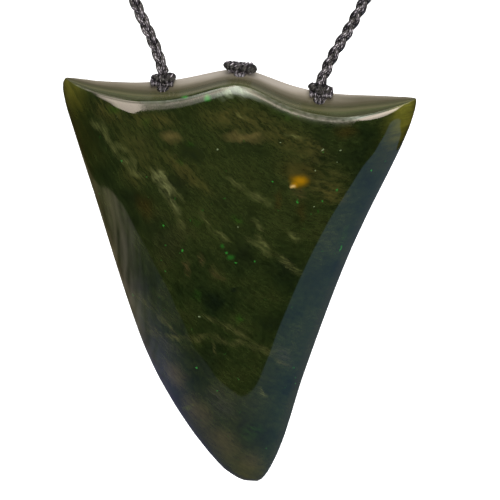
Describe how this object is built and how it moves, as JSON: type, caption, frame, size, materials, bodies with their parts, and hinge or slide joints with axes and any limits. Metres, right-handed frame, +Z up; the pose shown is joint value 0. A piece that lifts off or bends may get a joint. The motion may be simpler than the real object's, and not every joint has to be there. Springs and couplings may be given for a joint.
{
  "type": "shark tooth pendant necklace",
  "caption": "Polished jade pendant in the form of a shark tooth, with a scalloped top, bound by thread lashings to a plaited neck cord.",
  "frame": {"origin": "inner side of the loop of cord at its top, where it rests on the neck", "axes": "+Z up along the hanging pendant, +X to the right seen from the front, +Y towards the back of the stone"},
  "size_m": [0.1796, 0.0093, 0.362],
  "materials": {
    "jade": "dark olive green nephrite, highly polished",
    "waxed_thread": "charcoal waxed thread, satin",
    "plaited_cord": "charcoal waxed cord in a plait of three strands, satin"
  },
  "bodies": {
    "root": {"tooth": "jade", "left_lashing": "waxed_thread", "centre_lashing": "waxed_thread", "right_lashing": "waxed_thread", "neck_cord": "plaited_cord"}
  },
  "joints": []
}
